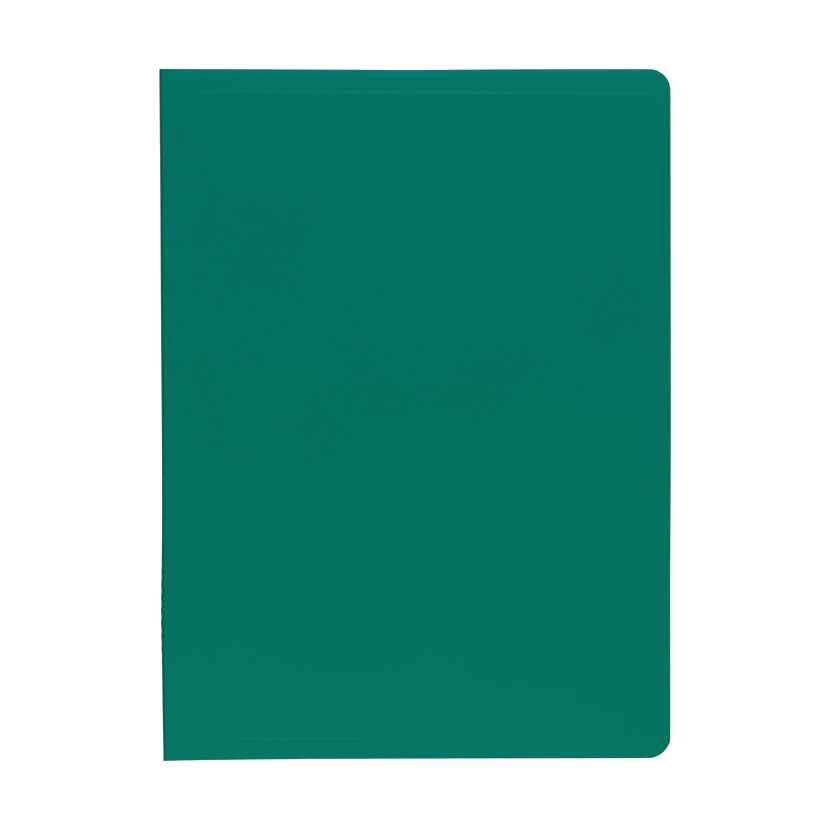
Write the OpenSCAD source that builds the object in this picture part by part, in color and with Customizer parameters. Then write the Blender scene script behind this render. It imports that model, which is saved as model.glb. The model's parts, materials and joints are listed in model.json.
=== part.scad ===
// Stamp album with a flexible polypropylene cover, lying closed on its back cover.
// The cover is one sheet folded round the spine. Inside, stock leaves of black sheet
// carry rows of clear pocket strips on both faces. Every leaf hangs on its own narrow
// guard, which folds at the spine and again at the leaf, so the album opens flat.
// X runs from the spine to the fore edge, Y from the foot to the head, Z upwards.
// The origin is the centre of the footprint, on the resting face.

/* [Cover] */
// Width of the closed album, from the spine's outer face to the fore edge
closed_w = 237; // [150:1:320]
// Height of the cover, from foot to head
cover_h = 320; // [200:1:400]
// Thickness of the cover sheet
cover_t = 0.8; // [0.5:0.1:1.4]
// Radius of the cover's corners at the fore edge
corner_r = 10; // [3:1:25]

/* [Leaves] */
// Cover standing proud of the leaves at the head
head_margin = 10.5; // [4:0.5:20]
// Cover standing proud of the leaves at the foot
foot_margin = 9.5; // [4:0.5:20]
// Cover standing proud of the leaves at the fore edge
fore_margin = 10; // [4:0.5:20]
// Thickness of a leaf's black sheet
sheet_t = 0.5; // [0.3:0.1:1.0]
// Radius of a leaf's corners at the fore edge
leaf_corner_r = 2; // [1:0.5:8]
// Air between neighbouring leaves, and between the outer leaves and the cover
leaf_gap = 0.3; // [0.2:0.05:0.6]

/* [Pocket strips] */
// Rows of pocket strips on each page
strip_rows = 9; // [4:1:10]
// Black sheet left showing between one strip and the next
strip_gap = 4; // [2:0.5:8]
// Border between the strips and the leaf's edges
page_border = 5; // [3:0.5:12]
// Thickness of the clear film
film_t = 0.15; // [0.1:0.05:0.3]
// Depth of the pocket between film and sheet
pocket_d = 0.15; // [0.1:0.05:0.3]
// Width of the weld along a strip's foot and ends
weld_w = 1.5; // [1:0.25:3]

/* [Binding] */
// Width of a guard between its two folds
guard_w = 8; // [6:0.5:14]
// Thickness of a guard
guard_t = 0.2; // [0.15:0.05:0.3]
// Thickness of the liner welded inside the spine
liner_t = 0.4; // [0.3:0.1:0.8]
// Running clearance at a fold
fold_clear = 0.1; // [0.05:0.05:0.2]

/* [Pressed lines] */
// Width of the lines pressed into the front cover over the leaves' head and foot
line_w = 1.4; // [0.8:0.2:3]
// Width of the flat crest of a pressed line
line_crest_w = 0.6; // [0.2:0.1:0.8]
// Height of a pressed line above the cover
line_h = 0.12; // [0.05:0.01:0.3]

/* [Hidden] */
LEAVES = 8;
$fn = 48;

// A leaf with its two layers of strips, and the step from one leaf to the next
strip_t = film_t + pocket_d;
leaf_t = sheet_t + 2 * strip_t;
leaf_pitch = leaf_t + leaf_gap;
closed_t = 2 * cover_t + leaf_gap + LEAVES * leaf_pitch;

// The cover's two folds: full-round edges of the spine, a panel's thickness across
fold_r = cover_t / 2;
spine_x = -closed_w / 2;
panel_x = spine_x + cover_t + fold_clear;
fore_x = closed_w / 2;

// The guards' folds, and where the leaves start and end
liner_x = spine_x + cover_t;
guard_root_x = liner_x + liner_t + fold_clear + guard_t / 2;
guard_end_x = guard_root_x + guard_w;
sheet_x = guard_end_x + guard_t / 2 + fold_clear;
leaf_fore_x = fore_x - fore_margin;
leaf_w = leaf_fore_x - sheet_x;
leaf_h = cover_h - head_margin - foot_margin;
leaf_foot_y = -cover_h / 2 + foot_margin;
leaf_mid_y = leaf_foot_y + leaf_h / 2;

// The rows of strips on a page
strip_pitch = (leaf_h - 2 * page_border + strip_gap) / strip_rows;
strip_h = strip_pitch - strip_gap;
strip_w = leaf_w - 2 * page_border;
overcut = 1; // how far a cutting shape runs past the face that it opens

LEAF_PARTS = ["guard", "sheet", "front_strips", "back_strips"];

// Height of a leaf's middle plane; leaf 1 is the one under the front cover
function leaf_z(leaf) = cover_t + leaf_gap + leaf_t / 2 + (LEAVES - leaf) * leaf_pitch;

// A flat panel from x = 0 to w, centred on y, with its two fore-edge corners rounded
module panel(w, h, t, r) {
    linear_extrude(t) {
        translate([0, -h / 2]) square([w - r, h]);
        translate([0, r - h / 2]) square([w, h - 2 * r]);
        for (side = [-1, 1]) translate([w - r, side * (h / 2 - r)]) circle(r);
    }
}

// A strip along y whose two long edges are full-round, folding about [0, 0] and [w, 0] in xz
module folding_strip(w, t, len) {
    rotate([90, 0, 0]) linear_extrude(len, center = true) {
        translate([0, -t / 2]) square([w, t]);
        for (x = [0, w]) translate([x, 0]) circle(d = t);
    }
}

// A raised line along x with sloping sides, standing on z = 0
module pressed_line(len) {
    rotate([90, 0, 90]) linear_extrude(len) polygon([
        [-line_w / 2, 0],
        [line_w / 2, 0],
        [line_crest_w / 2, line_h],
        [-line_crest_w / 2, line_h]
    ]);
}

module front_cover() {
    color("#027161") translate([0, 0, closed_t - cover_t]) {
        translate([panel_x, 0, 0]) panel(fore_x - panel_x, cover_h, cover_t, corner_r);
        for (y = [leaf_foot_y, leaf_foot_y + leaf_h])
            translate([sheet_x, y, cover_t]) pressed_line(leaf_w);
    }
}

module back_cover() {
    color("#027161") translate([panel_x, 0, 0])
        panel(fore_x - panel_x, cover_h, cover_t, corner_r);
}

module spine() {
    color("#027161") translate([spine_x + fold_r, 0, fold_r])
        rotate([0, -90, 0]) folding_strip(closed_t - cover_t, cover_t, cover_h);
}

// The strip inside the spine that the guards are welded to
module spine_liner() {
    liner_w = closed_t - 2 * (cover_t + leaf_gap);
    color("#1b1c1e") translate([liner_x, leaf_foot_y, cover_t + leaf_gap])
        cube([liner_t, leaf_h, liner_w]);
}

module leaf_guard(leaf) {
    color("#1b1c1e") translate([guard_root_x, leaf_mid_y, leaf_z(leaf)])
        folding_strip(guard_w, guard_t, leaf_h);
}

module leaf_sheet(leaf) {
    color("#1b1c1e") translate([sheet_x, leaf_mid_y, leaf_z(leaf) - sheet_t / 2])
        panel(leaf_w, leaf_h, sheet_t, leaf_corner_r);
}

// One clear strip, welded along its foot and ends, with its mouth towards the head
module pocket_strip() {
    difference() {
        cube([strip_w, strip_h, strip_t]);
        translate([weld_w, weld_w, -overcut])
            cube([strip_w - 2 * weld_w, strip_h - weld_w + overcut, pocket_d + overcut]);
    }
}

// The rows of strips on one page, standing on z = 0
module page_strips() {
    color("#dfe6e8", 0.35) for (row = [0:strip_rows - 1])
        translate([sheet_x + page_border, leaf_foot_y + page_border + row * strip_pitch, 0])
            pocket_strip();
}

module leaf_front_strips(leaf) {
    translate([0, 0, leaf_z(leaf) + sheet_t / 2]) page_strips();
}

module leaf_back_strips(leaf) {
    translate([0, 0, leaf_z(leaf) - sheet_t / 2]) mirror([0, 0, 1]) page_strips();
}

front_cover();
spine();
spine_liner();
back_cover();
for (leaf = [1:LEAVES]) {
    leaf_guard(leaf);
    leaf_sheet(leaf);
    leaf_front_strips(leaf);
    leaf_back_strips(leaf);
}
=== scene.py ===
# %% [markdown]
# # A flexible stamp album in green polypropylene
# The album is a stockbook. One sheet of polypropylene, scored and folded twice, makes the
# front, the spine and the back. Inside hang black leaves with rows of clear pocket strips.
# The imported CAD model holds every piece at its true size, and this script dresses it.
# The frame is loaded first, because every piece is placed by the solids that it holds.

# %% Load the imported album
import json
import math

import bmesh
import bpy
import numpy as np
from mathutils import Matrix, Vector


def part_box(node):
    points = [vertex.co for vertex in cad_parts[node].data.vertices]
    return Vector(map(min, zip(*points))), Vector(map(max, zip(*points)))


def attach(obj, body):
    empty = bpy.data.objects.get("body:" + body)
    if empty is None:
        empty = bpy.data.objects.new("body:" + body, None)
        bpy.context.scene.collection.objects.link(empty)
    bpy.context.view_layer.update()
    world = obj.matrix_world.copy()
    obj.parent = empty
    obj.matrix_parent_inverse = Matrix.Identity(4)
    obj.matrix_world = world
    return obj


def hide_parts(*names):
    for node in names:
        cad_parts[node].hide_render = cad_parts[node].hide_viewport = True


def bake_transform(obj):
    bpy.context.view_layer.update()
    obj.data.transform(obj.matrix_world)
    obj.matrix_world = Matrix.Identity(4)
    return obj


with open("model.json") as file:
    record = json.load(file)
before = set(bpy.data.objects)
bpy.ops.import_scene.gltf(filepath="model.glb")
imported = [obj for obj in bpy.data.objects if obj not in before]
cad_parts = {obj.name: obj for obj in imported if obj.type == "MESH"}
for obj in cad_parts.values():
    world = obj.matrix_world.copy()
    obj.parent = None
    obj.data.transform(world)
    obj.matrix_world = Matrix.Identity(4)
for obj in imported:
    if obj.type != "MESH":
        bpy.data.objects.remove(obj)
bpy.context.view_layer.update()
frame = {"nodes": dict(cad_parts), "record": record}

# %% [markdown]
# The pieces' places are worked out from the solids' own boxes, so they aren't fitted by hand.
# Blender works in metres, so one small constant turns millimetres into them.

# %% Read the album's sizes from the solids
MM = 0.001
LEAVES = range(1, 9)
spine_low, spine_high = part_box("spine")
back_low, back_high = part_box("back_cover")
liner_low, liner_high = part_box("spine_liner")
sheet_low, sheet_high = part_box("leaf_1_sheet")
strip_low, strip_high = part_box("leaf_1_front_strips")

SPINE_X = spine_low.x  # the spine's outer face
FORE_X = back_high.x  # the cover's fore edge
HALF_H = back_high.y  # half the cover's height
TOP_Z = spine_high.z  # the closed album's thickness
COVER_T = back_high.z - back_low.z
LEAF_X, LEAF_FORE_X = sheet_low.x, sheet_high.x
LEAF_FOOT_Y, LEAF_HEAD_Y = sheet_low.y, sheet_high.y
print("cover", round(COVER_T / MM, 2), "mm thick")
print("leaf block", round((LEAF_HEAD_Y - LEAF_FOOT_Y) / MM, 1), "mm high")

# %% [markdown]
# ## Camera, floor and light
# The album lies closed on its back cover, and the camera looks straight down at the front.
# A long lens keeps the outline square. The camera is rolled by a fraction of a degree,
# because a hand-laid album never lies quite parallel to the picture's edges.

# %% Point the camera down at the front cover
VIEW_W = 384.2 * MM  # width that the picture takes in, at the front cover
SENSOR_W = 36  # mm, as in a full-frame camera
CAMERA_UP = 1.5  # metres from the front cover to the lens
CAMERA_X, CAMERA_Y = -0.15 * MM, -0.2 * MM
CAMERA_ROLL = math.radians(-0.07)

camera_data = bpy.data.cameras.new("camera")
camera_data.sensor_width = SENSOR_W
camera_data.lens = SENSOR_W * CAMERA_UP / VIEW_W
camera = bpy.data.objects.new("camera", camera_data)
camera.location = (CAMERA_X, CAMERA_Y, TOP_Z + CAMERA_UP)
camera.rotation_euler = (0, 0, CAMERA_ROLL)
bpy.context.collection.objects.link(camera)
bpy.context.scene.camera = camera
bpy.context.scene.view_settings.view_transform = "Standard"  # keeps the sheet's dense green as it is
print("lens", round(camera_data.lens, 1), "mm")

# %% [markdown]
# Colours are written as sRGB hex, as a paint chart gives them, and one function turns them
# into the linear values that a shader wants. A second one adds a node, sets it and links it.

# %% Colour and node helpers
def linear(hex_colour):
    """The linear RGBA of an sRGB hex colour."""
    parts = [int(hex_colour[i:i + 2], 16) / 255 for i in (0, 2, 4)]
    return (*[c / 12.92 if c <= 0.04045 else ((c + 0.055) / 1.055) ** 2.4 for c in parts], 1)


def add_node(tree, kind, links=(), **settings):
    """Adds a node. links pairs each input with an output or a value, settings are the node's own."""
    made = tree.nodes.new(kind)
    for name, value in settings.items():
        setattr(made, name, value)
    for socket, source in links:
        if isinstance(source, bpy.types.NodeSocket):
            tree.links.new(source, made.inputs[socket])
        else:
            made.inputs[socket].default_value = source
    return made


def new_material(name):
    """An empty material with its Principled shader, as (material, tree, shader)."""
    material = bpy.data.materials.new(name)
    material.use_nodes = True
    return material, material.node_tree, material.node_tree.nodes["Principled BSDF"]


print("teal in linear light:", [round(c, 4) for c in linear("017161")])

# %% [markdown]
# The floor is a product table: a matt white board that is also lit from beneath, so it stays
# white to the horizon and holds no hard shadow. Its paper fibre gives it a very faint mottle.

# %% Floor
FLOOR_W = 60  # metres, so that its edge stays out of every view
FLOOR_DOWN = 0.1 * MM  # keeps the floor's face and the back cover's apart
FIBRE_MM = 4  # the fibre's mottle, drawn coarser than it is so that it shows
BOARD_GLOW = 0.8

board, tree, shader = new_material("matt_white_board")
place = add_node(tree, "ShaderNodeTexCoord").outputs["Object"]
fibre = add_node(tree, "ShaderNodeTexNoise",
                 [("Vector", place), ("Scale", 1 / (FIBRE_MM * MM))]).outputs["Fac"]
tint = add_node(tree, "ShaderNodeMix",
                [(0, fibre), (6, linear("F4F4F3")), (7, linear("FAFAFA"))], data_type="RGBA")
tree.links.new(tint.outputs[2], shader.inputs["Base Color"])
shader.inputs["Roughness"].default_value = 0.9
shader.inputs["Specular IOR Level"].default_value = 0.1
shader.inputs["Emission Strength"].default_value = BOARD_GLOW
shader.inputs["Emission Color"].default_value = (1, 1, 1, 1)
board.cycles.emission_sampling = "NONE"  # a glow this broad is found without aiming at it

bpy.ops.mesh.primitive_plane_add(size=FLOOR_W, location=(0, 0, -FLOOR_DOWN))
floor = bpy.context.object
floor.name = "floor"
floor.data.materials.append(board)
print("floor", FLOOR_W, "m wide")

# %% [markdown]
# The light is a white room and four large softboxes: a cool one at the album's head, a warm
# one at its foot, and one on each side. Broad sources from low on each side brighten a
# surface that tilts by only a degree or two, which is what makes the shallow pressed lines
# and the drooping edges show.

# %% Room and softboxes
ROOM_LIGHT = 0.22

world = bpy.data.worlds.new("white_room")
world.use_nodes = True
world.node_tree.nodes["Background"].inputs["Color"].default_value = (1, 1, 1, 1)
world.node_tree.nodes["Background"].inputs["Strength"].default_value = ROOM_LIGHT
world.cycles.sampling_method = "NONE"  # an even white room is found without aiming, too
bpy.context.scene.world = world

SOFTBOXES = [  # name, position in metres, width and height in metres, watts, colour
    ("head_softbox", (0.09, 0.75, 0.75), (0.8, 0.55), 5.3, "E4ECFF"),
    ("foot_softbox", (-0.09, -0.75, 0.75), (0.8, 0.55), 5.85, "FFF9E7"),
    ("fore_softbox", (0.95, 0, 0.85), (0.6, 0.6), 2.95, "F2F7FF"),
    ("spine_softbox", (-0.95, 0, 0.85), (0.6, 0.6), 2.95, "F2F7FF"),
]
for name, place, (width, height), watts, colour in SOFTBOXES:
    lamp = bpy.data.lights.new(name, "AREA")
    lamp.shape = "RECTANGLE"
    lamp.size = width
    lamp.size_y = height
    lamp.energy = watts
    lamp.color = linear(colour)[:3]
    softbox = bpy.data.objects.new(name, lamp)
    softbox.location = place
    softbox.rotation_euler = (-Vector(place)).to_track_quat("-Z", "Y").to_euler()
    softbox.visible_camera = False
    bpy.context.collection.objects.link(softbox)
print(len(SOFTBOXES), "softboxes")

# %% [markdown]
# ## Materials
# The cover is polypropylene sheet, extruded through a flat die and pressed on a matt roller.
# That gives a dense colour that runs right through, a silky surface with a very fine grain,
# and reflections that stay soft and take on the green of the sheet. Its cut edges are
# rougher, because the die-cutter's knife leaves them unpolished. Along a fold the creasing
# rule has pressed the sheet thin and smooth, so it is a little glossier there, and the fold is
# painted a darker green: painted shade along the fold. Where the
# sheet has been welded it has melted and set again against a steel tool, so it is glossier.

# %% Cover sheet: polypropylene, extruded and matt rolled
POLYPROPYLENE_IOR = 1.49
FLOW_MM = 60  # the drift of colour and gloss along the extrusion
SPECKLE_SHARE = 0.6  # the grain's share of the colour's drift, the flow has the rest
GRAIN_SPAN = (0.3, 0.7)  # the noise seldom leaves this span
GLOSS_SPREAD = 0.03  # how far the grain takes the roughness up and down


def polypropylene(name, dark, light, rough, grain_mm, grain_depth_mm, sheen):
    """Extruded polypropylene sheet with a fine rolled grain. sheen is its reflection's level and tint."""
    material, tree, shader = new_material(name)
    place = add_node(tree, "ShaderNodeTexCoord").outputs["Object"]
    flow = add_node(tree, "ShaderNodeTexNoise",
                    [("Vector", place), ("Scale", 1 / (FLOW_MM * MM)), ("Detail", 2.0)]).outputs["Fac"]
    grain = add_node(tree, "ShaderNodeTexNoise",
                     [("Vector", place), ("Scale", 1 / (grain_mm * MM)), ("Detail", 3.0)]).outputs["Fac"]
    speckle = add_node(tree, "ShaderNodeMix", [(0, SPECKLE_SHARE), (2, flow), (3, grain)]).outputs[0]
    tone = add_node(tree, "ShaderNodeMix",
                    [(0, speckle), (6, linear(dark)), (7, linear(light))], data_type="RGBA")
    gloss = add_node(tree, "ShaderNodeMapRange",
                     [("Value", grain), ("From Min", GRAIN_SPAN[0]), ("From Max", GRAIN_SPAN[1]),
                      ("To Min", rough - GLOSS_SPREAD), ("To Max", rough + GLOSS_SPREAD)])
    relief = add_node(tree, "ShaderNodeBump",
                      [("Height", grain), ("Strength", 1.0), ("Distance", grain_depth_mm * MM)])
    tree.links.new(tone.outputs[2], shader.inputs["Base Color"])
    tree.links.new(gloss.outputs[0], shader.inputs["Roughness"])
    tree.links.new(relief.outputs[0], shader.inputs["Normal"])
    shader.inputs["IOR"].default_value = POLYPROPYLENE_IOR
    shader.inputs["Specular IOR Level"].default_value = sheen[0]
    shader.inputs["Specular Tint"].default_value = sheen[1]
    return material


# The real grain is about 0.1 mm wide. It is drawn coarser, so that it shows.
GREEN_SHEEN = (0.9, (0.02, 0.9, 0.8, 1))  # a dense pigment tints what the surface throws back
COVER_FINISHES = [  # name, darkest and lightest colour, roughness, grain's width and depth in mm
    ("polypropylene_sheet_matt_rolled", "00624F", "006956", 0.5, 0.9, 0.012),
    ("polypropylene_die_cut_edge", "005B4A", "02614F", 0.65, 0.5, 0.03),
    # the fold's finish is painted darker than the sheet: painted shade along the fold
    ("polypropylene_scored_fold", "004637", "004C3D", 0.4, 0.5, 0.02),
    ("polypropylene_ultrasonic_weld", "005747", "005D4C", 0.25, 0.5, 0.02),
]
cover_sheet, cover_edge, fold_painted_shade, weld_spot = (
    polypropylene(*finish, GREEN_SHEEN) for finish in COVER_FINISHES)
print("cover materials:", cover_sheet.name, cover_edge.name, fold_painted_shade.name, weld_spot.name)

# %% [markdown]
# The leaves and guards are black polypropylene of the same kind, and the liner a heavier
# strip of it. A black sheet is filled with soot, so its reflections keep the light's own
# colour. The pockets are clear cast polypropylene film, smooth and glossy. Its foot and
# ends are welded with a heated bar, which turns the film slightly milky.

# %% Leaf sheet, binding strip and pocket film
CLEAR_FILM_IOR = 1.5
HAZE_SPAN = (0.8, 1.3)  # the ripple takes the roughness from this share of it to that one
PLAIN_SHEEN = (0.4, (1, 1, 1, 1))
INSIDE_FINISHES = [  # as for the cover
    ("black_polypropylene_sheet", "1C1D1E", "222325", 0.42, 0.8, 0.015),
    ("black_polypropylene_strip", "1A1B1C", "202122", 0.5, 0.5, 0.02),
]
leaf_sheet, binding_strip = (polypropylene(*finish, PLAIN_SHEEN) for finish in INSIDE_FINISHES)


def clear_film(name, colour, alpha, rough, ripple_mm, ripple_depth_mm):
    """Thin clear film. alpha is the share that it hides, and the ripple bends its reflections."""
    material, tree, shader = new_material(name)
    place = add_node(tree, "ShaderNodeTexCoord").outputs["Object"]
    ripple = add_node(tree, "ShaderNodeTexNoise",
                      [("Vector", place), ("Scale", 1 / (ripple_mm * MM)), ("Detail", 1.0)]).outputs["Fac"]
    relief = add_node(tree, "ShaderNodeBump",
                      [("Height", ripple), ("Strength", 1.0), ("Distance", ripple_depth_mm * MM)])
    haze = add_node(tree, "ShaderNodeMapRange",
                    [("Value", ripple), ("To Min", rough * HAZE_SPAN[0]), ("To Max", rough * HAZE_SPAN[1])])
    tree.links.new(relief.outputs[0], shader.inputs["Normal"])
    tree.links.new(haze.outputs[0], shader.inputs["Roughness"])
    shader.inputs["Base Color"].default_value = linear(colour)
    shader.inputs["Alpha"].default_value = alpha
    shader.inputs["IOR"].default_value = CLEAR_FILM_IOR
    shader.inputs["Specular IOR Level"].default_value = 1.0
    return material


# The film ripples slowly where it is free, and the welding bar leaves a fine ripple in it.
pocket_film = clear_film("clear_cast_polypropylene_film", "4A5154",
                         alpha=0.3, rough=0.3, ripple_mm=22, ripple_depth_mm=0.25)
weld_film = clear_film("heat_welded_film", "A9B0B3",
                       alpha=0.3, rough=0.35, ripple_mm=0.9, ripple_depth_mm=0.06)
print("inside materials:", leaf_sheet.name, binding_strip.name, pocket_film.name, weld_film.name)

# %% [markdown]
# ## The cover
# On the real album the cover is one flat blank. It is die-cut, scored along two lines and
# folded. It bends at the scores and nowhere else, so each skin here is a grid of points
# across the folded section, swept from the foot to the head. A grid lets rules shape it.
# The first rules are for the outline. A blank that is folded by hand never comes out quite
# straight: the spine creeps in towards the foot, the welds pull it out of line in one place,
# and the other edges wander by up to a millimetre.

# %% Rules for the spine's run
WELD_PITCH = 6 * MM  # spacing of the spine's weld spots
PUCKER = 0.1 * MM  # how far the spine bulges at a weld, where the welds pull hardest
TIGHTEST, TIGHT_WIDTH = 0.79, 0.09  # where that is, as shares of the way down
SPINE_SLANT = 1.0 * MM  # the even part of the creep, from the head to the foot
HEAD_CREEP = 0.2 * MM  # a quicker start, over the first fifth of the way down
CREEP_BUMPS = [  # the uneven part: share of the way down, how far inwards, half width as a share
    (0.55, 0.2 * MM, 0.15),
    (TIGHTEST, -0.45 * MM, 0.08),
    (1.0, 0.3 * MM, 0.05),
]


def ease(t):
    """0 before 0, 1 after 1 and a smooth rise between them."""
    t = np.clip(t, 0, 1)
    return t * t * (3 - 2 * t)


def bell(d, width):
    """1 at 0, falling smoothly to nothing at about twice the width on both sides."""
    return np.exp(-(d / width) ** 2)


def way_down(y):
    """0 at the cover's head and 1 at its foot."""
    return (HALF_H - y) / (2 * HALF_H)


def spine_creep(y):
    """How far the spine's fold lies inside a straight line: it creeps in from head to foot."""
    down = way_down(y)
    creep = SPINE_SLANT * down + HEAD_CREEP * ease(down / 0.2)
    for place, inwards, width in CREEP_BUMPS:
        creep = creep + inwards * bell(down - place, width)
    return creep


def pucker(y):
    """The spine's bulge at each weld, as a shift towards -X."""
    wave = np.cos(2 * math.pi * (y - LEAF_FOOT_Y) / WELD_PITCH)
    return -PUCKER * wave * bell(way_down(y) - TIGHTEST, TIGHT_WIDTH)


print("the spine creeps in by", round(float(spine_creep(-HALF_H)) / MM, 2), "mm at the foot")

# %% [markdown]
# The die cuts the other edges straight, and the folding shifts them a little: the fore edge
# runs in towards the foot, the foot runs out at the spine, and the head dips in its middle.
# Each shift is a smooth rule of the place along the edge. Rules are better here than points
# moved by hand, because they keep the sheet's edge fair and can be read and changed.

# %% Rules for the other three edges
HEAD_LINE_Y = LEAF_HEAD_Y - 0.1 * MM  # where the cover turns down past the leaves' heads
FOOT_LINE_Y = LEAF_FOOT_Y + 0.5 * MM
FORE_TRIM = 0.42 * MM  # how far the fore edge runs in towards the foot
FOOT_CUT, FOOT_TAIL, CORNER_CUT = 0.65, 1.0, 0.25  # mm: all along, back out at the spine, in at the corner
HEAD_DIP, HEAD_RISE = 0.25, 0.3  # mm: in at the middle, out at the spine
TAIL_FADE, RISE_FADE = 0.2, 0.35  # shares of the way across, from the spine
DIP_WIDTH, CORNER_FROM, CORNER_RUN = 0.15, 0.94, 0.05  # and so are these
TRIM_FADE = 6 * MM  # height over which an edge's shift dies out


def fore_trim(x, y):
    """How far the fore edge runs in. It starts just above the album's middle, over 95 mm."""
    return FORE_TRIM * ease((5 * MM - y) / (95 * MM)) * ease((x - LEAF_FORE_X) / (4 * MM))


def edge_trim(x, y):
    """Shift of the head and foot edges. across is 0 at the spine and 1 at the fore edge."""
    across = np.clip((x - SPINE_X) / (FORE_X - SPINE_X), 0, 1)
    tail = FOOT_TAIL * np.exp(-across / TAIL_FADE)
    foot = (FOOT_CUT - tail + CORNER_CUT * ease((across - CORNER_FROM) / CORNER_RUN)) * MM
    head = (HEAD_DIP * bell(across - 0.5, DIP_WIDTH) - HEAD_RISE * (1 - ease(across / RISE_FADE))) * MM
    return foot * ease((FOOT_LINE_Y - y) / TRIM_FADE) - head * ease((y - HEAD_LINE_Y) / TRIM_FADE)


print("the fore edge runs in by", round(float(fore_trim(FORE_X, -HALF_H)) / MM, 2), "mm at the foot")

# %% [markdown]
# The leaves hold the front panel flat. Past their edges nothing does, so the sheet droops a
# little there, and the leaves' head and foot have pressed into it as two shallow lines. A
# droop is a curve that starts level and soon becomes a straight slope. Near the fold the
# sheet can't droop, because the fold is stiff.

# %% Rules for the front panel's height
FOLD_R = COVER_T + 0.05 * MM  # outer radius of a fold
HEAD_SLOPE, FOOT_SLOPE, FORE_SLOPE = 0.04, 0.036, 0.09
HEAD_LIP, LIP_SLOPE = 4 * MM, 0.1  # the outermost stretch at the head hangs steeper
FOOT_SAG, SAG_SLOPE = 40 * MM, 0.009  # the foot's long gentle sag starts this far over the leaves
FORE_LEAD = 4 * MM  # and the fore edge's droop this far
STIFF_REACH = 10 * MM  # how far from the fold the droop is still held back
HEAD_LINE_DEPTH, FOOT_LINE_DEPTH = 0.27, 0.18  # mm
SWELL, SWELL_LEAD, SWELL_RUN = 0.4, 6 * MM, 5 * MM  # share of the depth, start before the line, length
DROP_LEAD, DROP_RUN = 1.1 * MM, 1.9 * MM
HEAD_START, HEAD_REST = 0.45, 0.55  # the head line's strength comes in two steps from the spine
FOOT_LOSS = 0.55  # how much of its strength the foot line loses again
HEAD_LINE_SLANT = -0.005  # the leaves' heads lie a little out of true
FOOT_LINE_X = SPINE_X + 37 * MM  # the foot's line is shorter than the head's


def droop(past, slope, turn=4 * MM):
    """How far the sheet hangs, some way past the edge that holds it up. turn is the length of its bend."""
    past = np.maximum(past, 0)
    return slope * past * past / (past + turn)


def pressed_line(past, depth):
    """A line pressed in the sheet: it swells gently towards the line, then drops by depth in mm."""
    swell = SWELL * depth * MM * ease((past + SWELL_LEAD) / SWELL_RUN)
    return swell - depth * MM * ease((past + DROP_LEAD) / DROP_RUN)


def line_strength(x):
    """Shares of the head line's and the foot line's depth at x. Both end at the leaves' fore edge."""
    over_leaves = x <= LEAF_FORE_X + 0.2 * MM
    head = HEAD_START * ease((x - LEAF_X) / (4 * MM)) + HEAD_REST * ease((x - LEAF_X - 5 * MM) / (30 * MM))
    fading = 1 - FOOT_LOSS * ease((x - FOOT_LINE_X - 30 * MM) / (40 * MM))
    foot = ease((x - FOOT_LINE_X) / (1.5 * MM)) * fading
    return head * over_leaves, foot * over_leaves


def cover_relief(x, y):
    """Height of the front panel over its flat plane: its droop and its two pressed lines."""
    hang = droop(y - HEAD_LINE_Y, HEAD_SLOPE) + droop(y - HALF_H + HEAD_LIP, LIP_SLOPE, turn=1 * MM)
    hang = hang + droop(FOOT_LINE_Y - y, FOOT_SLOPE)
    hang = hang + droop(FOOT_LINE_Y + FOOT_SAG - y, SAG_SLOPE, turn=30 * MM)
    hang = hang + droop(x - LEAF_FORE_X + FORE_LEAD, FORE_SLOPE)
    hang = hang * ease((x - SPINE_X - FOLD_R) / STIFF_REACH)
    head, foot = line_strength(x)
    head_line = pressed_line(y - HEAD_LINE_Y - HEAD_LINE_SLANT * x, HEAD_LINE_DEPTH) * head
    foot_line = pressed_line(FOOT_LINE_Y - y, FOOT_LINE_DEPTH) * foot
    return head_line + foot_line - hang


print("fold radius", round(FOLD_R / MM, 2), "mm; droop at the head's edge",
      round(-float(cover_relief(0.0, HALF_H)) / MM, 2), "mm")

# %% [markdown]
# The grid's lines are close together where the sheet turns and far apart where it is flat.
# Past the leaves the columns follow the corner's arc, so the rounded corner is a true one.

# %% Lines of the cover's grid
CORNER_R = 10 * MM
CORNER_LEAD = 4 * MM  # the rows start to crowd together this far before the corner's arc
EVEN_ROWS = 41
EDGE_ROWS = (0, 0.6, 1.5, 3, 5)  # mm inwards from the head and the foot
LINE_ROWS = np.arange(-3, 3.01, 0.25)  # mm to both sides of a pressed line
FOLD_COLUMNS = (1.3, 2, 3, 4.5, 6.5, 9)  # mm from the spine's face
PUCKER_TOP = -40 * MM  # from here to the foot the rows are close enough to show the spine's bulges
ROWS_PER_WELD = 5


def grid_rows():
    """Heights of the grid's rows, close together at the edges and the pressed lines."""
    rows = set(np.linspace(-HALF_H, HALF_H, EVEN_ROWS).round(5))
    for line in (HEAD_LINE_Y, FOOT_LINE_Y):
        rows = {r for r in rows if abs(r - line) > 4 * MM}
        rows |= {line + d * MM for d in LINE_ROWS}
    rows |= {s * (HALF_H - d * MM) for d in EDGE_ROWS for s in (-1, 1)}
    rows |= set(np.arange(LEAF_FOOT_Y + WELD_PITCH, PUCKER_TOP, WELD_PITCH / ROWS_PER_WELD).round(5))
    return np.array(sorted(rows))


def grid_columns():
    """(x, half height) of the panel's columns, from the fold to the fore edge."""
    flat = [SPINE_X + d * MM for d in FOLD_COLUMNS]
    flat += [*np.linspace(LEAF_X + 3 * MM, FOOT_LINE_X - 2 * MM, 5), FOOT_LINE_X, FOOT_LINE_X + 1.5 * MM]
    flat += [*np.linspace(FOOT_LINE_X + 5 * MM, LEAF_FORE_X - 3 * MM, 30), LEAF_FORE_X - 1.2 * MM]
    arc = np.radians(np.linspace(0, 90, 13))
    corner = [(FORE_X - CORNER_R * (1 - math.sin(a)), HALF_H - CORNER_R * (1 - math.cos(a))) for a in arc]
    return [(x, HALF_H) for x in flat] + corner


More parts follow.
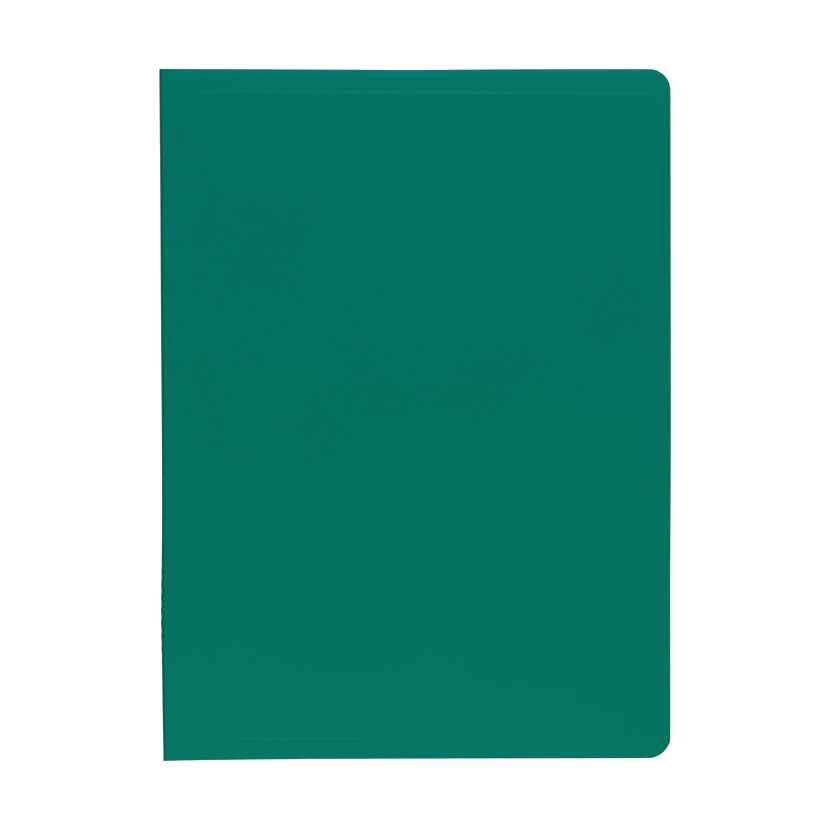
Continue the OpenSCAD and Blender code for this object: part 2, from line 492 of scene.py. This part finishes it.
def panel_y(y, half):
    """A row's height in a column that the rounded corner cuts to half."""
    held = HALF_H - CORNER_R - CORNER_LEAD
    past = np.maximum(np.abs(y) - held, 0)
    return np.where(np.abs(y) > held, np.sign(y) * (held + past * (half - held) / (HALF_H - held)), y)


print(len(grid_rows()), "rows and", len(grid_columns()), "columns")

# %% [markdown]
# A sheet becomes a closed shell from two grids, its outer and its inner face. A narrow arris
# runs round the rim, as a knife leaves it, so the edge catches the light.

# %% Build a closed shell from two grids
def finish_mesh(name, mesh, sharp=35):
    """Turns the faces outwards, smooths them under the sharp angle and makes the object."""
    work = bmesh.new()
    work.from_mesh(mesh)
    bmesh.ops.recalc_face_normals(work, faces=work.faces)
    work.to_mesh(mesh)
    work.free()
    mesh.shade_smooth()
    mesh.set_sharp_from_angle(angle=math.radians(sharp))
    obj = bpy.data.objects.new(name, mesh)
    bpy.context.collection.objects.link(obj)
    return obj


def shell(name, outer, inner, arris, face_material, rim_material=None, seam_arris=None):
    """A closed sheet from two grids of points, rows by columns, with its rim chamfered by arris.

    seam_arris is the chamfer along the first column, if another sheet meets this one there."""
    rows, columns = outer.shape[:2]
    ring = [(0, j) for j in range(columns)] + [(i, columns - 1) for i in range(1, rows)]
    ring += [(rows - 1, j) for j in range(columns - 2, -1, -1)] + [(i, 0) for i in range(rows - 2, 0, -1)]
    chamfer = {(i, j): arris if j or not seam_arris else seam_arris for i, j in ring}
    points, faces, rims = [], [], []

    def inset(grid):
        moved = grid.copy()
        for i, j in ring:
            towards = grid[min(max(i, 1), rows - 2), min(max(j, 1), columns - 2)] - grid[i, j]
            moved[i, j] = grid[i, j] + towards * chamfer[i, j] / np.linalg.norm(towards)
        return moved

    for grid in (inset(outer), inset(inner)):
        points += grid.reshape(-1, 3).tolist()
    half = rows * columns
    for i in range(rows - 1):
        for j in range(columns - 1):
            quad = [i * columns + j, i * columns + j + 1, (i + 1) * columns + j + 1, (i + 1) * columns + j]
            faces += [quad, [half + v for v in reversed(quad)]]
    through = [inner[c] - outer[c] for c in ring]
    depth = [t / np.linalg.norm(t) * chamfer[c] for c, t in zip(ring, through)]
    loops = [[i * columns + j for i, j in ring]]
    for base, sign in ((outer, 1), (inner, -1)):
        loops.append(list(range(len(points), len(points) + len(ring))))
        points += [(base[c] + sign * d).tolist() for c, d in zip(ring, depth)]
    loops.append([half + v for v in loops[0]])
    for a, b in zip(loops, loops[1:]):
        for k in range(len(ring)):
            n = (k + 1) % len(ring)
            rims.append([a[k], b[k], b[n], a[n]])
    mesh = bpy.data.meshes.new(name)
    mesh.from_pydata(points, [], faces + rims)
    mesh.materials.append(face_material)
    if rim_material:
        mesh.materials.append(rim_material)
        for polygon in mesh.polygons[len(faces):]:
            polygon.material_index = 1
    return finish_mesh(name, mesh)


print("shell builder ready")

# %% [markdown]
# The upper skin is the front panel, its fold and the spine's wall, down to the score by the
# table. The lower skin is the back panel with that fold. The joint between them lies in the
# score itself, where the real sheet has a groove. It slants up through the sheet, as a scarf
# joint does, so that the inside of the lower fold has enough sheet to bend. Each skin is one
# sheet that runs on round its fold.

# %% Section of the folded cover
SCORE_Z = 1.05 * MM  # height of the joint on the spine's face
SCORE_GAP = 0.02 * MM  # half the joint's width
SCARF = 1.35 * MM  # how much higher the joint comes out on the inside
FOLD_STEPS = 9  # points round a fold
UPPER_WALL_LINES, LOWER_WALL_LINES = 8, 3


def wall_lines(seam_z, fold_z, count):
    """(outside z, inside z) of the spine wall's lines, from the slanting joint to the fold."""
    outside, inside = (np.linspace(z, fold_z, count + 1)[:-1] for z in (seam_z, seam_z + SCARF))
    return list(zip(outside, inside))


def folded_section(wall, top):
    """Points along the section, from the spine's wall over the fold to the panel's fore edge.

    Each is (x, z, the inside's step from there in x and z, half height)."""
    sign, level = (1, TOP_Z) if top else (-1, 0)
    section = [(SPINE_X, z, COVER_T, inside_z - z, HALF_H) for z, inside_z in wall]
    for a in np.radians(np.linspace(0, 90, FOLD_STEPS)):
        out_x, out_z = -math.cos(a), sign * math.sin(a)
        x, z = SPINE_X + FOLD_R * (1 + out_x), level - sign * FOLD_R + FOLD_R * out_z
        section.append((x, z, -COVER_T * out_x, -COVER_T * out_z, HALF_H))
    return section + [(x, level, 0, -COVER_T * sign, half) for x, half in grid_columns()]


upper_wall = wall_lines(SCORE_Z + SCORE_GAP, TOP_Z - FOLD_R, UPPER_WALL_LINES)
lower_wall = wall_lines(SCORE_Z - SCORE_GAP, FOLD_R, LOWER_WALL_LINES)
print("section:", len(folded_section(upper_wall, True)), "points above the joint and",
      len(folded_section(lower_wall, False)), "below it")

# %% [markdown]
# The section is swept along the rows, and the rules shift each point on its way: the outline's
# rules across, the height's rules up. The faces round a fold get a darker finish, which is
# painted shade along the fold. The rim gets the finish of a cut edge.

# %% Make the cover's two skins
ARRIS, SEAM_ARRIS = 0.3 * MM, 0.03 * MM
CREEP_HELD, CREEP_FADE = 1.5 * MM, 25 * MM  # the creep is whole up to here, then fades over the panel
PUCKER_FADE = 3 * MM


def cover_skin(name, wall, top):
    """One skin of the folded cover, from its joint in the score to the fore edge."""
    section, rows = folded_section(wall, top), grid_rows()
    outer = np.zeros((len(rows), len(section), 3))
    inner = outer.copy()
    for j, (x, z, in_x, in_z, half) in enumerate(section):
        y = panel_y(rows, half)
        creep = spine_creep(y) * (1 - ease((x - SPINE_X - CREEP_HELD) / CREEP_FADE))
        creep = creep + pucker(y) * (1 - ease((x - SPINE_X) / PUCKER_FADE))
        lift = cover_relief(x, y) if top and x >= SPINE_X + FOLD_R else 0 * y
        outer[:, j] = np.stack([x + creep - fore_trim(x, y), y + edge_trim(x, y), z + lift], 1)
        inner[:, j] = outer[:, j] + np.array([in_x, 0, in_z])
    skin = shell(name, outer, inner, ARRIS, cover_sheet, cover_edge, SEAM_ARRIS)
    skin.data.materials.append(fold_painted_shade)
    fold_shade_slot = len(skin.data.materials) - 1
    strips = len(section) - 1
    # the faces round each fold, out to the first flat column, take the darker finish: painted shade
    for face in skin.data.polygons[:2 * (len(rows) - 1) * strips]:  # outer and inner faces take turns
        if len(wall) <= face.index // 2 % strips < len(wall) + FOLD_STEPS:
            face.material_index = fold_shade_slot
    return skin


cover_upper = cover_skin("cover_front_and_spine", upper_wall, True)
cover_lower = cover_skin("cover_back", lower_wall, False)
for skin in (cover_upper, cover_lower):
    print(skin.name, len(skin.data.polygons), "faces")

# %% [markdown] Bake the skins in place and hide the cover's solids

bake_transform(cover_upper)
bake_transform(cover_lower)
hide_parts("front_cover", "spine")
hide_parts("back_cover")

# %% [markdown]
# ## The binding
# The liner is a stiff strip, held inside the spine by two rows of ultrasonic welds. The
# welds and the leaves' pockets are small shapes that repeat, so Geometry Nodes make them. A
# tree is built once, with named inputs for its sizes, and is then run with values for them.

# %% Geometry Nodes helpers
def tree_inputs(tree, sockets):
    """Adds named inputs to a geometry tree and returns each one's identifier by name."""
    names = {}
    for name, kind in sockets:
        names[name] = tree.interface.new_socket(name=name, in_out="INPUT", socket_type=kind).identifier
    tree.interface.new_socket(name="Geometry", in_out="OUTPUT", socket_type="NodeSocketGeometry")
    return names


def grow(name, tree, inputs, values):
    """Runs a geometry tree on an empty mesh and returns its result as a plain mesh."""
    seed = bpy.data.objects.new(name, bpy.data.meshes.new(name))
    bpy.context.collection.objects.link(seed)
    modifier = seed.modifiers.new("build", "NODES")
    modifier.node_group = tree
    for socket, value in values.items():
        modifier[inputs[socket]] = value
    graph = bpy.context.evaluated_depsgraph_get()
    mesh = bpy.data.meshes.new_from_object(seed.evaluated_get(graph), depsgraph=graph)
    bpy.data.objects.remove(seed)
    return mesh


print("tree helpers ready")

# %% [markdown]
# The welding horn leaves a small glossy disc with a raised rim at each spot on the outside.
# A spot could be a picture on the spine, but a real rim catches the light from any side. So
# the tree draws one spot, a ring swept round a circle with a disc in it, and then sets that
# spot on each point of a line.

# %% A node tree for the spot welds
SPOT_SIDES, RIM_SIDES = 18, 6  # a spot is tiny and comes about a hundred times

weld_tree = bpy.data.node_groups.new("spot_welds", "GeometryNodeTree")
weld_inputs = tree_inputs(weld_tree, [
    ("Count", "NodeSocketInt"), ("Pitch", "NodeSocketFloat"), ("Spot Radius", "NodeSocketFloat"),
    ("Rim", "NodeSocketFloat"), ("Material", "NodeSocketMaterial")])
given = add_node(weld_tree, "NodeGroupInput").outputs

round_path = add_node(weld_tree, "GeometryNodeCurvePrimitiveCircle",
                      [("Resolution", SPOT_SIDES), ("Radius", given["Spot Radius"])])
rim_path = add_node(weld_tree, "GeometryNodeCurvePrimitiveCircle",
                    [("Resolution", RIM_SIDES), ("Radius", given["Rim"])])
rim = add_node(weld_tree, "GeometryNodeCurveToMesh",
               [("Curve", round_path.outputs["Curve"]), ("Profile Curve", rim_path.outputs["Curve"])])
disc = add_node(weld_tree, "GeometryNodeMeshCylinder",
                [("Vertices", SPOT_SIDES), ("Radius", given["Spot Radius"]), ("Depth", given["Rim"])])
spot = add_node(weld_tree, "GeometryNodeJoinGeometry")
for part in (rim, disc):
    weld_tree.links.new(part.outputs[0], spot.inputs[0])

step = add_node(weld_tree, "ShaderNodeCombineXYZ", [("Y", given["Pitch"])])
line = add_node(weld_tree, "GeometryNodeMeshLine",
                [("Count", given["Count"]), ("Offset", step.outputs[0])], mode="OFFSET")
spots = add_node(weld_tree, "GeometryNodeInstanceOnPoints",
                 [("Points", line.outputs[0]), ("Instance", spot.outputs[0])])
real = add_node(weld_tree, "GeometryNodeRealizeInstances", [("Geometry", spots.outputs[0])])
done = add_node(weld_tree, "GeometryNodeSetMaterial",
                [("Geometry", real.outputs[0]), ("Material", given["Material"])])
add_node(weld_tree, "NodeGroupOutput", [("Geometry", done.outputs[0])])
print("spot weld tree:", len(weld_tree.nodes), "nodes")

# %% [markdown]
# One row of spots is grown and stood up against the spine. The spots follow the spine's
# slight creep, so they are moved point by point with the same rule as the skin.

# %% Weld marks on the spine
WELD_ROWS = (0.36, 0.64)  # heights of the two rows, as shares of the album's thickness
WELD_COUNT = round((liner_high.y - liner_low.y) / WELD_PITCH) - 1
SPOT_R, RIM_R = 1.3 * MM, 0.17 * MM
SPOT_SINK = 0.06 * MM  # how far the middle of a spot lies inside the spine's face

marks = bpy.data.meshes.new("spine_weld_marks")
gather = bmesh.new()
for height in WELD_ROWS:
    row = grow("weld_row", weld_tree, weld_inputs, {
        "Count": WELD_COUNT, "Pitch": WELD_PITCH, "Spot Radius": SPOT_R, "Rim": RIM_R, "Material": weld_spot})
    row.transform(Matrix.Translation((SPINE_X + SPOT_SINK, liner_low.y + WELD_PITCH, TOP_Z * height))
                  @ Matrix.Rotation(math.radians(-90), 4, "Y"))
    for vertex in row.vertices:
        vertex.co.x += float(spine_creep(vertex.co.y) + pucker(vertex.co.y))
    gather.from_mesh(row)
gather.to_mesh(marks)
gather.free()
marks.materials.append(weld_spot)  # bmesh carries faces over, but no materials
weld_marks = finish_mesh("spine_weld_marks", marks, sharp=60)
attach(weld_marks, "spine")
print("weld marks:", len(WELD_ROWS) * WELD_COUNT)

# %% [markdown]
# The liner is a flat strip of black sheet that stands inside the spine and follows its
# creep. It never bends, so it simply rides on the spine.

# %% Liner
LINER_ARRIS = 0.06 * MM
LINES_UP, LINER_LINES = 33, 5  # from foot to head, and across the liner

leaf_ys = np.linspace(LEAF_FOOT_Y, LEAF_HEAD_Y, LINES_UP)
y, z = np.meshgrid(leaf_ys, np.linspace(liner_low.z, liner_high.z, LINER_LINES))
face = np.stack([0 * y + liner_high.x + spine_creep(y), y, z], 2)
back = face - np.array([liner_high.x - liner_low.x, 0, 0])
liner = shell("spine_liner_strip", face, back, LINER_ARRIS, binding_strip)
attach(liner, "spine")
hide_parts("spine_liner")
print("liner:", len(liner.data.polygons), "faces")

# %% [markdown]
# The guards are thin strips too, and a real guard bends at both of its edges: at the spine, and
# at its leaf. A guard is made in two halves that meet in its
# middle, where it never bends. Each half has its lines close together where it does bend.

# %% Guards
GUARD_ARRIS = 0.02 * MM
LINER_TUCK, LEAF_TUCK = 0.02 * MM, 0.01 * MM  # how far a guard's edges reach into liner and leaf
ROOT_LINES = (0, 0.2, 0.4, 0.6, 0.9, 1.4)  # mm from the joint at the spine
TIP_LINES = (-1.4, -0.9, -0.6, -0.3, -0.1)  # mm from the joint at the leaf


def strip_grid(name, xs, z, thick, creep_reach):
    """A level strip between lines of x. It follows the spine's creep, out to creep_reach."""
    x, y = np.meshgrid(xs, leaf_ys)
    held = 1 - ease((x - xs[0]) / creep_reach) if creep_reach else 0 * x
    outer = np.stack([x + spine_creep(y) * held, y, 0 * x + z + thick / 2], 2)
    return shell(name, outer, outer - np.array([0, 0, thick]), GUARD_ARRIS, binding_strip)


joints = {joint["name"]: joint for joint in frame["record"]["behaviour"]["joints"]}
for leaf in LEAVES:
    low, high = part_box(f"leaf_{leaf}_guard")
    level, thick = (low.z + high.z) / 2, high.z - low.z
    root_x = joints[f"guard_{leaf}_fold"]["pos_m"][0]
    tip_x = joints[f"leaf_{leaf}_fold"]["pos_m"][0]
    middle_x = (root_x + tip_x) / 2
    root_xs = np.array([liner_high.x - LINER_TUCK, *(root_x + d * MM for d in ROOT_LINES), middle_x])
    tip_xs = np.array([middle_x, *(tip_x + d * MM for d in TIP_LINES), LEAF_X + LEAF_TUCK])
    root = strip_grid(f"guard_{leaf}_root", root_xs, level, thick, middle_x - root_x)
    tip = strip_grid(f"guard_{leaf}_tip", tip_xs, level, thick, 0)
    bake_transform(root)
    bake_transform(tip)
    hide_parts(f"leaf_{leaf}_guard")
print(2 * len(LEAVES), "guard halves")

# %% [markdown]
# ## The leaves
# A leaf is a flat die-cut sheet, and its CAD solid already has the right shape, so it stays
# and only gets its material. The pockets are clear strips in rows, all alike, so Geometry
# Nodes make them: a grid is bent into one strip, thickened, and set on a line of points.
# The strip lies flat where it is welded and stands off the sheet in between, and its mouth
# towards the head is left open.
#
# The grid's lines are first crowded towards its edges by a sine, because that is where the
# weld and the film's rise need them.

# %% A node tree for a page of strips: the flat film
LINES_ALONG, LINES_ACROSS = 31, 13
QUARTER_TURN = (math.pi / 2, math.pi / 2, math.pi / 2)

page_tree = bpy.data.node_groups.new("page_of_strips", "GeometryNodeTree")
page_inputs = tree_inputs(page_tree, [
    ("Rows", "NodeSocketInt"), ("Row Pitch", "NodeSocketFloat"), ("Width", "NodeSocketFloat"),
    ("Height", "NodeSocketFloat"), ("Pocket Depth", "NodeSocketFloat"), ("Film", "NodeSocketFloat"),
    ("Weld Width", "NodeSocketFloat"), ("Film Material", "NodeSocketMaterial"),
    ("Weld Material", "NodeSocketMaterial")])
given = add_node(page_tree, "NodeGroupInput").outputs

flat = add_node(page_tree, "GeometryNodeMeshGrid",
                [("Size X", given["Width"]), ("Size Y", given["Height"]),
                 ("Vertices X", LINES_ALONG), ("Vertices Y", LINES_ACROSS)])
size = add_node(page_tree, "ShaderNodeCombineXYZ", [("X", given["Width"]), ("Y", given["Height"])])
half = add_node(page_tree, "ShaderNodeVectorMath",
                [(0, size.outputs[0]), (1, (0.5, 0.5, 0.5))], operation="MULTIPLY")
even = add_node(page_tree, "GeometryNodeInputPosition")
share = add_node(page_tree, "ShaderNodeVectorMath",
                 [(0, even.outputs[0]), (1, half.outputs[0])], operation="DIVIDE")
turn = add_node(page_tree, "ShaderNodeVectorMath",
                [(0, share.outputs[0]), (1, QUARTER_TURN)], operation="MULTIPLY")
sine = add_node(page_tree, "ShaderNodeVectorMath", [(0, turn.outputs[0])], operation="SINE")
crowded = add_node(page_tree, "ShaderNodeVectorMath",
                   [(0, sine.outputs[0]), (1, half.outputs[0])], operation="MULTIPLY")
laid = add_node(page_tree, "GeometryNodeSetPosition",
                [("Geometry", flat.outputs["Mesh"]), ("Position", crowded.outputs[0])])
print("flat film:", (LINES_ALONG - 1) * (LINES_ACROSS - 1), "faces")

# %% [markdown]
# Each point now finds how far it is from the nearest weld: the foot's or the nearer end's.
# Counted in widths of the weld, that distance says where the film rises off the sheet, and
# later which faces are milky.

# %% The same tree: the film's rise and thickness
RISE_FROM, RISE_TO = 0.8, 2.0  # widths of the weld between which the film rises
WELD_PART = 1.25  # faces nearer than this many widths are weld
MERGE = 1e-6  # metres, to close the film's edge

now_at = add_node(page_tree, "GeometryNodeInputPosition")
point = add_node(page_tree, "ShaderNodeSeparateXYZ", [(0, now_at.outputs[0])])
limit = add_node(page_tree, "ShaderNodeSeparateXYZ", [(0, half.outputs[0])])
aside = add_node(page_tree, "ShaderNodeMath", [(0, point.outputs["X"])], operation="ABSOLUTE")
from_end = add_node(page_tree, "ShaderNodeMath",
                    [(0, limit.outputs["X"]), (1, aside.outputs[0])], operation="SUBTRACT")
from_foot = add_node(page_tree, "ShaderNodeMath",
                     [(0, point.outputs["Y"]), (1, limit.outputs["Y"])], operation="ADD")
nearer = add_node(page_tree, "ShaderNodeMath",
                  [(0, from_end.outputs[0]), (1, from_foot.outputs[0])], operation="MINIMUM")
from_weld = add_node(page_tree, "ShaderNodeMath",
                     [(0, nearer.outputs[0]), (1, given["Weld Width"])], operation="DIVIDE")
rise = add_node(page_tree, "ShaderNodeMapRange",
                [("Value", from_weld.outputs[0]), ("From Min", RISE_FROM), ("From Max", RISE_TO)],
                interpolation_type="SMOOTHSTEP")
height = add_node(page_tree, "ShaderNodeMath",
                  [(0, rise.outputs[0]), (1, given["Pocket Depth"])], operation="MULTIPLY")
lift = add_node(page_tree, "ShaderNodeCombineXYZ", [("Z", height.outputs[0])])
raised = add_node(page_tree, "GeometryNodeSetPosition",
                  [("Geometry", laid.outputs[0]), ("Offset", lift.outputs[0])])
thick = add_node(page_tree, "GeometryNodeExtrudeMesh",
                 [("Mesh", raised.outputs[0]), ("Offset Scale", given["Film"]), ("Individual", False)],
                 mode="FACES")
under = add_node(page_tree, "GeometryNodeFlipFaces", [("Mesh", raised.outputs[0])])
both = add_node(page_tree, "GeometryNodeJoinGeometry")
for part in (thick, under):
    page_tree.links.new(part.outputs[0], both.inputs[0])
closed = add_node(page_tree, "GeometryNodeMergeByDistance",
                  [("Geometry", both.outputs[0]), ("Distance", MERGE)])
print("the film rises", RISE_FROM, "to", RISE_TO, "weld widths from the weld")

# %% [markdown]
# The welded faces are marked on one strip, before it is repeated, so that every copy carries
# the mark. The strip is then set on a line of points up the page and made real, because an
# export drops instances. Last it gets its two materials, and the mark chooses the second.

# %% The same tree: its welds, its rows and its materials
is_weld = add_node(page_tree, "ShaderNodeMath",
                   [(0, from_weld.outputs[0]), (1, WELD_PART)], operation="LESS_THAN")
marked = add_node(page_tree, "GeometryNodeCaptureAttribute", [(0, closed.outputs[0])], domain="FACE")
marked.capture_items.new("BOOLEAN", "Is Weld")
page_tree.links.new(is_weld.outputs[0], marked.inputs[1])

step = add_node(page_tree, "ShaderNodeCombineXYZ", [("Y", given["Row Pitch"])])
line = add_node(page_tree, "GeometryNodeMeshLine",
                [("Count", given["Rows"]), ("Offset", step.outputs[0])], mode="OFFSET")
rows = add_node(page_tree, "GeometryNodeInstanceOnPoints",
                [("Points", line.outputs[0]), ("Instance", marked.outputs[0])])
real = add_node(page_tree, "GeometryNodeRealizeInstances", [("Geometry", rows.outputs[0])])
filmed = add_node(page_tree, "GeometryNodeSetMaterial",
                  [("Geometry", real.outputs[0]), ("Material", given["Film Material"])])
welded = add_node(page_tree, "GeometryNodeSetMaterial",
                  [("Geometry", filmed.outputs[0]), ("Selection", marked.outputs[1]),
                   ("Material", given["Weld Material"])])
add_node(page_tree, "NodeGroupOutput", [("Geometry", welded.outputs[0])])
print("page tree:", len(page_tree.nodes), "nodes")

# %% [markdown]
# The page is grown once and copied to both faces of each leaf. A copy for the back face is
# turned over about the page's height, so that its pockets still open towards the head.

# %% Grow a page and lay it on every leaf
STRIP_ROWS = 9
STRIP_GAP = 4 * MM  # sheet left showing between two strips
WELD_W = 1.5 * MM
BASE_LIFT = 0.015 * MM  # keeps the film off the sheet's own surface
page_w, page_h = strip_high.x - strip_low.x, strip_high.y - strip_low.y
row_pitch = (page_h + STRIP_GAP) / STRIP_ROWS
strip_h = row_pitch - STRIP_GAP
strip_t = strip_high.z - strip_low.z
page_mesh = grow("page", page_tree, page_inputs, {
    "Rows": STRIP_ROWS, "Row Pitch": row_pitch, "Width": page_w, "Height": strip_h,
    "Pocket Depth": strip_t / 2, "Film": strip_t / 2 - BASE_LIFT, "Weld Width": WELD_W,
    "Film Material": pocket_film, "Weld Material": weld_film})

first_row = strip_low.y + strip_h / 2
middle_x = (strip_low.x + strip_high.x) / 2
for leaf in LEAVES:
    low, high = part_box(f"leaf_{leaf}_sheet")
    for side, level, turn in (("front", high.z + BASE_LIFT, 0), ("back", low.z - BASE_LIFT, 180)):
        mesh = page_mesh.copy()
        turned_over = Matrix.Rotation(math.radians(turn), 4, "Y")
        mesh.transform(Matrix.Translation((middle_x, first_row, level)) @ turned_over)
        page = finish_mesh(f"leaf_{leaf}_{side}_pockets", mesh, sharp=30)
        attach(page, f"leaf_{leaf}")
        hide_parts(f"leaf_{leaf}_{side}_strips")
    solid = frame["nodes"][f"leaf_{leaf}_sheet"]
    solid.data.materials.clear()
    solid.data.materials.append(leaf_sheet)
print("pages:", 2 * len(LEAVES), "of", len(page_mesh.polygons), "faces")
